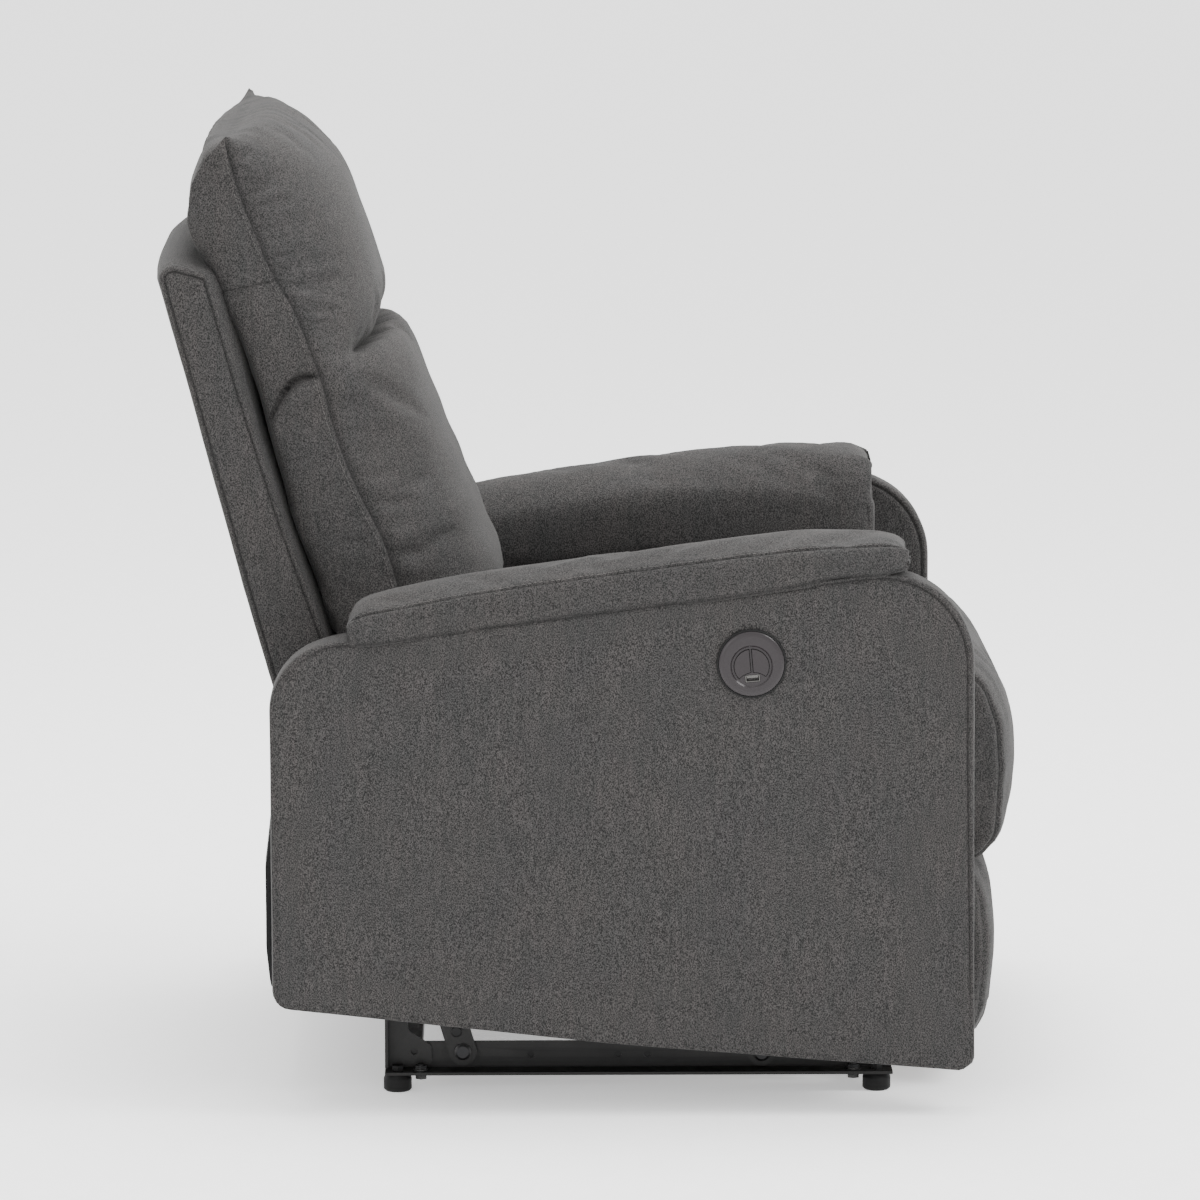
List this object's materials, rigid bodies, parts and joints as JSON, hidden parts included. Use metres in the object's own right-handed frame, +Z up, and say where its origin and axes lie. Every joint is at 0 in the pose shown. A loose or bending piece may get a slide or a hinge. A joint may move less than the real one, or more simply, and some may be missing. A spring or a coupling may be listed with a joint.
{
  "type": "recliner armchair",
  "caption": "Power recliner armchair: padded seat, back with head pillow, sloping padded arms, fold-out footrest on a bar linkage, round two-button control, low steel base.",
  "frame": {"origin": "centre of the bounding box at floor level, under the feet", "axes": "+Z up, the chair faces -Y, the occupant's right-hand side with the control is -X"},
  "size_m": [0.7833, 0.8677, 1.0069],
  "materials": {
    "black_steel": "satin black powder coat",
    "zinc_steel": "dark zinc plating",
    "spring_steel": "bright wire",
    "foot_plastic": "matte moulded nylon",
    "timber": "sawn pine and plywood",
    "upholstery": "charcoal chenille weave with topstitched seams",
    "dust_cloth": "black non-woven cloth",
    "motor_plastic": "fine-textured moulding",
    "track_aluminium": "satin extrusion",
    "control_plastic": "satin pearl grey moulding",
    "button_plastic": "satin pearl grey moulding",
    "port_steel": "nickel-plated sheet"
  },
  "bodies": {
    "base": {"base_rail_right": "black_steel", "base_rail_left": "black_steel", "base_cross_tubes": "black_steel", "base_feet": "foot_plastic", "foot_bolts": "zinc_steel", "rear_bracket_right": "black_steel", "rear_bracket_left": "black_steel", "base_pivot_rivets": "zinc_steel"},
    "rear_links": {"rear_swing_link_right": "black_steel", "rear_swing_link_left": "black_steel", "rear_swing_bar": "black_steel"},
    "front_links": {"front_swing_link_right": "black_steel", "front_swing_link_left": "black_steel"},
    "seat": {"seat_plate_right": "black_steel", "seat_plate_left": "black_steel", "seat_cross_tubes": "black_steel", "torque_bearings": "black_steel", "seat_pivot_rivets": "zinc_steel", "seat_side_rail_right": "timber", "seat_side_rail_left": "timber", "seat_front_rail": "timber", "seat_rear_rail": "timber", "seat_springs": "spring_steel", "seat_cushion": "upholstery", "side_panel_right": "upholstery", "side_panel_left": "upholstery", "arm_body_right": "upholstery", "arm_body_left": "upholstery", "arm_pad_right": "upholstery", "arm_pad_left": "upholstery", "dust_cover": "dust_cloth", "motor_housing": "motor_plastic", "actuator_track": "track_aluminium", "power_inlet": "motor_plastic", "control_housing": "control_plastic", "usb_port": "port_steel"},
    "drive_nut": {"drive_nut": "motor_plastic"},
    "button_recline": {"button_recline": "button_plastic"},
    "button_upright": {"button_upright": "button_plastic"},
    "drive_links": {"torque_tube": "black_steel", "drive_link_right": "black_steel", "drive_link_left": "black_steel"},
    "lift_links": {"lift_link_right": "black_steel", "lift_link_left": "black_steel"},
    "extension_links": {"extension_link_right": "black_steel", "extension_link_left": "black_steel"},
    "stay_links": {"stay_link_right": "black_steel", "stay_link_left": "black_steel"},
    "footrest": {"footrest_bracket_right": "black_steel", "footrest_bracket_left": "black_steel", "footrest_board": "timber", "footrest_pad": "upholstery"},
    "back": {"back_shell": "upholstery", "back_uprights": "timber", "back_rails": "timber", "back_springs": "spring_steel", "back_cushion": "upholstery", "head_pillow": "upholstery", "back_bracket_right": "black_steel", "back_bracket_left": "black_steel"}
  },
  "joints": [
    {"name": "recline", "type": "hinge", "parent": "base", "child": "rear_links", "pos_m": [0, 0.13, 0.038], "axis": [1, 0, 0], "range_deg": [0, 49]},
    {"name": "seat_tilt", "type": "hinge", "parent": "rear_links", "child": "seat", "pos_m": [0, 0.163, 0.145], "axis": [-1, 0, 0], "range_deg": [0, 56.6]},
    {"name": "front_link_swing", "type": "hinge", "parent": "base", "child": "front_links", "pos_m": [0, -0.178, 0.036], "axis": [1, 0, 0], "range_deg": [0, 48.5]},
    {"name": "back_recline", "type": "hinge", "parent": "seat", "child": "back", "pos_m": [0, 0.23, 0.3], "axis": [-1, 0, 0], "range_deg": [0, 30.1]},
    {"name": "footrest_extend", "type": "hinge", "parent": "seat", "child": "drive_links", "pos_m": [0, -0.28, 0.2045], "axis": [-1, 0, 0], "range_deg": [0, 101]},
    {"name": "lift_link_swing", "type": "hinge", "parent": "seat", "child": "lift_links", "pos_m": [0, -0.3015, 0.243], "axis": [-1, 0, 0], "range_deg": [0, 101.2]},
    {"name": "extension_link_swing", "type": "hinge", "parent": "lift_links", "child": "extension_links", "pos_m": [0, -0.262, 0.111], "axis": [1, 0, 0], "range_deg": [0, 101.2]},
    {"name": "stay_link_swing", "type": "hinge", "parent": "lift_links", "child": "stay_links", "pos_m": [0, -0.262, 0.068], "axis": [1, 0, 0], "range_deg": [0, 100.4]},
    {"name": "footrest_turn", "type": "hinge", "parent": "extension_links", "child": "footrest", "pos_m": [0, -0.345, 0.215], "axis": [-1, 0, 0], "range_deg": [0, 88.8]},
    {"name": "nut_travel", "type": "slide", "parent": "seat", "child": "drive_nut", "axis": [0, -1, 0], "range_m": [0, 0.0696]},
    {"name": "recline_button", "type": "slide", "parent": "seat", "child": "button_recline", "axis": [1, 0, 0], "range_m": [0, 0.001], "stiffness_N_per_m": 900},
    {"name": "upright_button", "type": "slide", "parent": "seat", "child": "button_upright", "axis": [1, 0, 0], "range_m": [0, 0.001], "stiffness_N_per_m": 900}
  ],
  "couplings": [
    {"joint": "seat_tilt", "follows": "recline", "ratio": 1.1517},
    {"joint": "front_link_swing", "follows": "recline", "ratio": 0.98706},
    {"joint": "back_recline", "follows": "recline", "ratio": 0.6122},
    {"joint": "lift_link_swing", "follows": "footrest_extend", "ratio": 1},
    {"joint": "extension_link_swing", "follows": "footrest_extend", "ratio": 1},
    {"joint": "stay_link_swing", "follows": "footrest_extend", "ratio": 0.99178},
    {"joint": "footrest_turn", "follows": "footrest_extend", "ratio": 0.87712},
    {"joint": "nut_travel", "follows": "footrest_extend", "m_per_rad": 0.039398}
  ]
}
